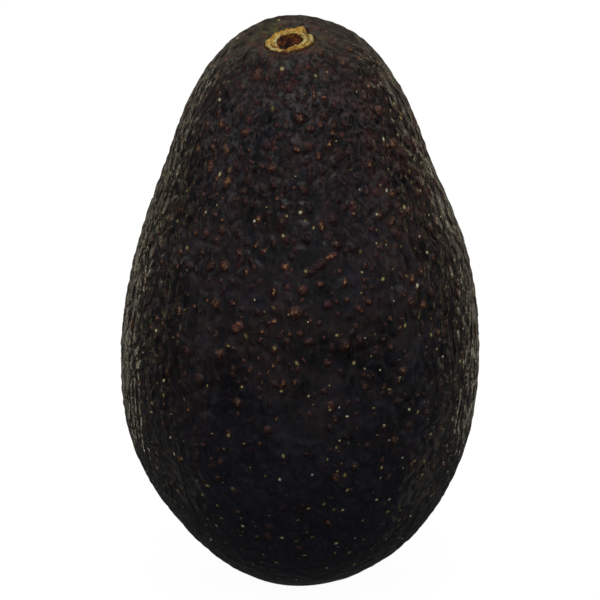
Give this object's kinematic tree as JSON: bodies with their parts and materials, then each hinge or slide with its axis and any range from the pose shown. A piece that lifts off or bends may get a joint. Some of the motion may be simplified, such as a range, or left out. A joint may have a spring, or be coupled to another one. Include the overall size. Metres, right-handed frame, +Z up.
{
  "type": "avocado",
  "caption": "Whole ripe avocado with dark, closely pebbled skin and an open stem scar at its narrow end, standing on a small flat spot at its broad end.",
  "frame": {"origin": "middle of the fruit's footprint, on the surface that it stands on", "axes": "+Z up along the fruit's length, from the blossom end to the stem end; the stem scar faces forward, to -Y"},
  "size_m": [0.0646, 0.0648, 0.1045],
  "materials": {
    "skin": "near-black, half-dull pebbled skin with red-brown bumps and fine yellow specks",
    "stem_scar": "pale dry torn tissue, dark brown and fibrous in the pit"
  },
  "bodies": {
    "root": {"avocado": "skin"}
  },
  "joints": []
}
